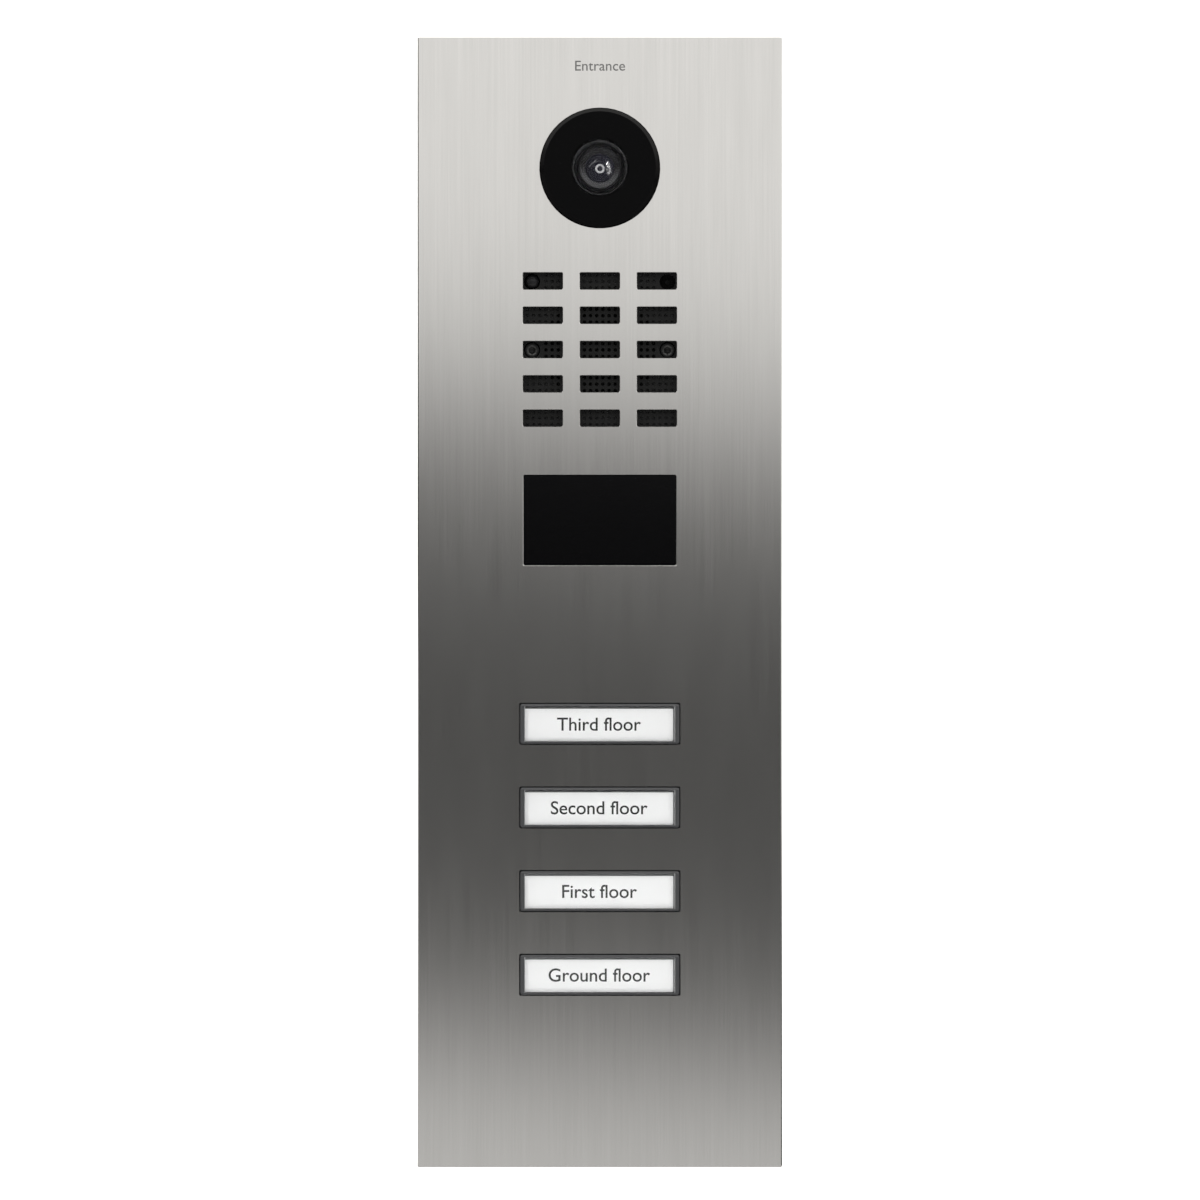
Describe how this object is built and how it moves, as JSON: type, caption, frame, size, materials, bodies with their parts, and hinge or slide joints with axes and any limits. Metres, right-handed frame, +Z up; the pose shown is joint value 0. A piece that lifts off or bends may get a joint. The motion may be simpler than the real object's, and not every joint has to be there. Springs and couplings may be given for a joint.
{
  "type": "door intercom panel",
  "caption": "Tall brushed steel door intercom panel with a round camera, slotted speech grille, dark reader window and lit name-plate call buttons, for a flush wall box.",
  "frame": {"origin": "middle of the face plate's outline, in the wall plane, which is the rear face of the gasket", "axes": "+X to the right seen from the front, +Z up, +Y into the wall; the front faces -Y"},
  "size_m": [0.109, 0.044, 0.338],
  "materials": {
    "plate_steel": "vertical brushed grain",
    "bracket_steel": "mill finish",
    "zinc_steel": "zinc plated",
    "blackened_screw": "turned steel with black oxide",
    "basket_steel": "black lacquer",
    "foam_rubber": "closed-cell foam",
    "seal_rubber": "matt",
    "housing_plastic": "fine spark-eroded texture",
    "bezel_plastic": "satin, infrared-clear black",
    "window_glass": "polished, coated",
    "lens_black": "black anodised",
    "lens_glass": "coated element",
    "mount_plastic": "matt black",
    "circuit_board": "green solder mask",
    "component_black": "moulded epoxy",
    "led_resin": "cast resin",
    "grille_black": "black powder coat",
    "mesh_cloth": "woven polyester",
    "cone_paper": "pressed black pulp",
    "magnet_ferrite": "ferrite with zinc plate",
    "capsule_aluminium": "drawn can",
    "smoked_lens": "smoked clear polycarbonate",
    "dark_window": "polished black acrylic",
    "sensor_lens": "milky polyethylene",
    "sink_aluminium": "black anodised",
    "relay_plastic": "moulded case",
    "terminal_green": "moulded polyamide",
    "silicone": "translucent silicone",
    "ribbon_grey": "ribbed insulation",
    "clear_cap": "clear polycarbonate",
    "card_paper": "smooth white card",
    "diffuser_plastic": "translucent grey"
  },
  "bodies": {
    "panel": {"faceplate": "plate_steel", "faceplate_studs": "zinc_steel", "stud_nuts": "zinc_steel", "fixing_screws": "blackened_screw", "fixing_clips": "zinc_steel", "hook_bracket": "bracket_steel", "module_screws": "zinc_steel", "wall_gasket": "foam_rubber", "module_seal": "seal_rubber", "camera_seal": "seal_rubber", "microphone_boot": "seal_rubber", "module_front_shell": "housing_plastic", "module_rear_cover": "housing_plastic", "button_housing": "housing_plastic", "button_rear_cover": "housing_plastic", "camera_bezel": "bezel_plastic", "camera_window": "window_glass", "lens_barrel": "lens_black", "lens_front_glass": "lens_glass", "lens_mount": "mount_plastic", "filter_drive": "component_black", "camera_board": "circuit_board", "image_sensor": "component_black", "infrared_board": "circuit_board", "infrared_leds": "led_resin", "grille_plate": "grille_black", "acoustic_mesh": "mesh_cloth", "speaker_basket": "basket_steel", "speaker_cone": "cone_paper", "speaker_magnet": "magnet_ferrite", "microphone": "capsule_aluminium", "light_guide": "smoked_lens", "sensor_window": "dark_window", "card_reader_board": "circuit_board", "motion_sensor": "sensor_lens", "main_board": "circuit_board", "board_components": "component_black", "heat_sink": "sink_aluminium", "relays": "relay_plastic", "terminal_header": "terminal_green", "terminal_plug": "terminal_green", "terminal_screws": "zinc_steel", "key_mat": "silicone", "button_board": "circuit_board", "button_switches": "component_black", "button_leds": "led_resin", "ribbon_cable": "ribbon_grey"},
    "call_button_1": {"call_button_cap_1": "clear_cap", "name_card_1": "card_paper", "card_carrier_1": "diffuser_plastic"},
    "call_button_2": {"call_button_cap_2": "clear_cap", "name_card_2": "card_paper", "card_carrier_2": "diffuser_plastic"},
    "call_button_3": {"call_button_cap_3": "clear_cap", "name_card_3": "card_paper", "card_carrier_3": "diffuser_plastic"},
    "call_button_4": {"call_button_cap_4": "clear_cap", "name_card_4": "card_paper", "card_carrier_4": "diffuser_plastic"},
    "infrared_filter": {"infrared_filter": "mount_plastic"}
  },
  "joints": [
    {"name": "call_button_1_press", "type": "slide", "parent": "panel", "child": "call_button_1", "axis": [0, 1, 0], "range_m": [0, 0.001], "stiffness_N_per_m": 2000, "deforming": ["key_mat"]},
    {"name": "call_button_2_press", "type": "slide", "parent": "panel", "child": "call_button_2", "axis": [0, 1, 0], "range_m": [0, 0.001], "stiffness_N_per_m": 2000, "deforming": ["key_mat"]},
    {"name": "call_button_3_press", "type": "slide", "parent": "panel", "child": "call_button_3", "axis": [0, 1, 0], "range_m": [0, 0.001], "stiffness_N_per_m": 2000, "deforming": ["key_mat"]},
    {"name": "call_button_4_press", "type": "slide", "parent": "panel", "child": "call_button_4", "axis": [0, 1, 0], "range_m": [0, 0.001], "stiffness_N_per_m": 2000, "deforming": ["key_mat"]},
    {"name": "infrared_filter_slide", "type": "slide", "parent": "panel", "child": "infrared_filter", "axis": [1, 0, 0], "range_m": [0, 0.0068]}
  ]
}
